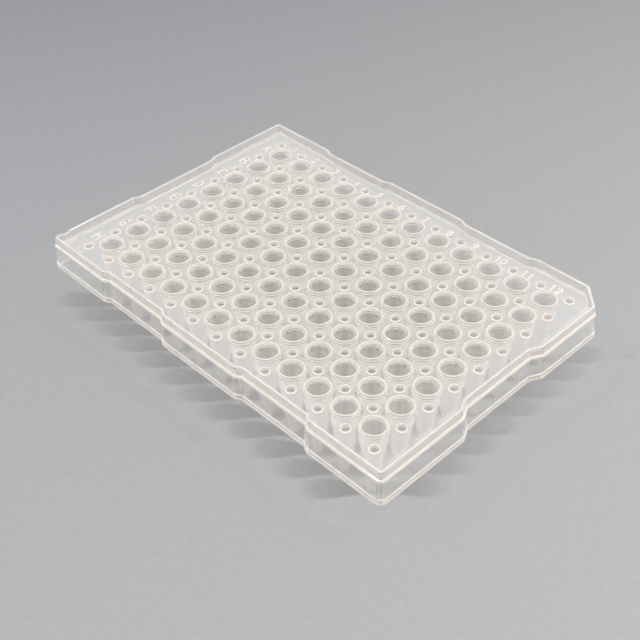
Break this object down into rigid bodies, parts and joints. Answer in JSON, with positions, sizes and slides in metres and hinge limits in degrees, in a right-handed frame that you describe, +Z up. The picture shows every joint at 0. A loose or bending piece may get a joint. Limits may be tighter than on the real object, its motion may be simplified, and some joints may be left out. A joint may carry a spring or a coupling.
{
  "type": "half-skirted well plate",
  "caption": "Half-skirted PCR plate: a grid of conical tubes hangs from a perforated deck inside a raised rim and a short stepped skirt, moulded as one piece in translucent polypropylene.",
  "frame": {"origin": "on the surface that the tube tips stand on, under the middle of the plate", "axes": "+X along the columns from 1 to 12, +Y from row H to row A, +Z up out of the wells"},
  "size_m": [0.1252, 0.086, 0.0232],
  "materials": {
    "polypropylene": "translucent natural polypropylene, smooth moulded surface with a slight haze"
  },
  "bodies": {
    "root": {"plate": "polypropylene"}
  },
  "joints": []
}
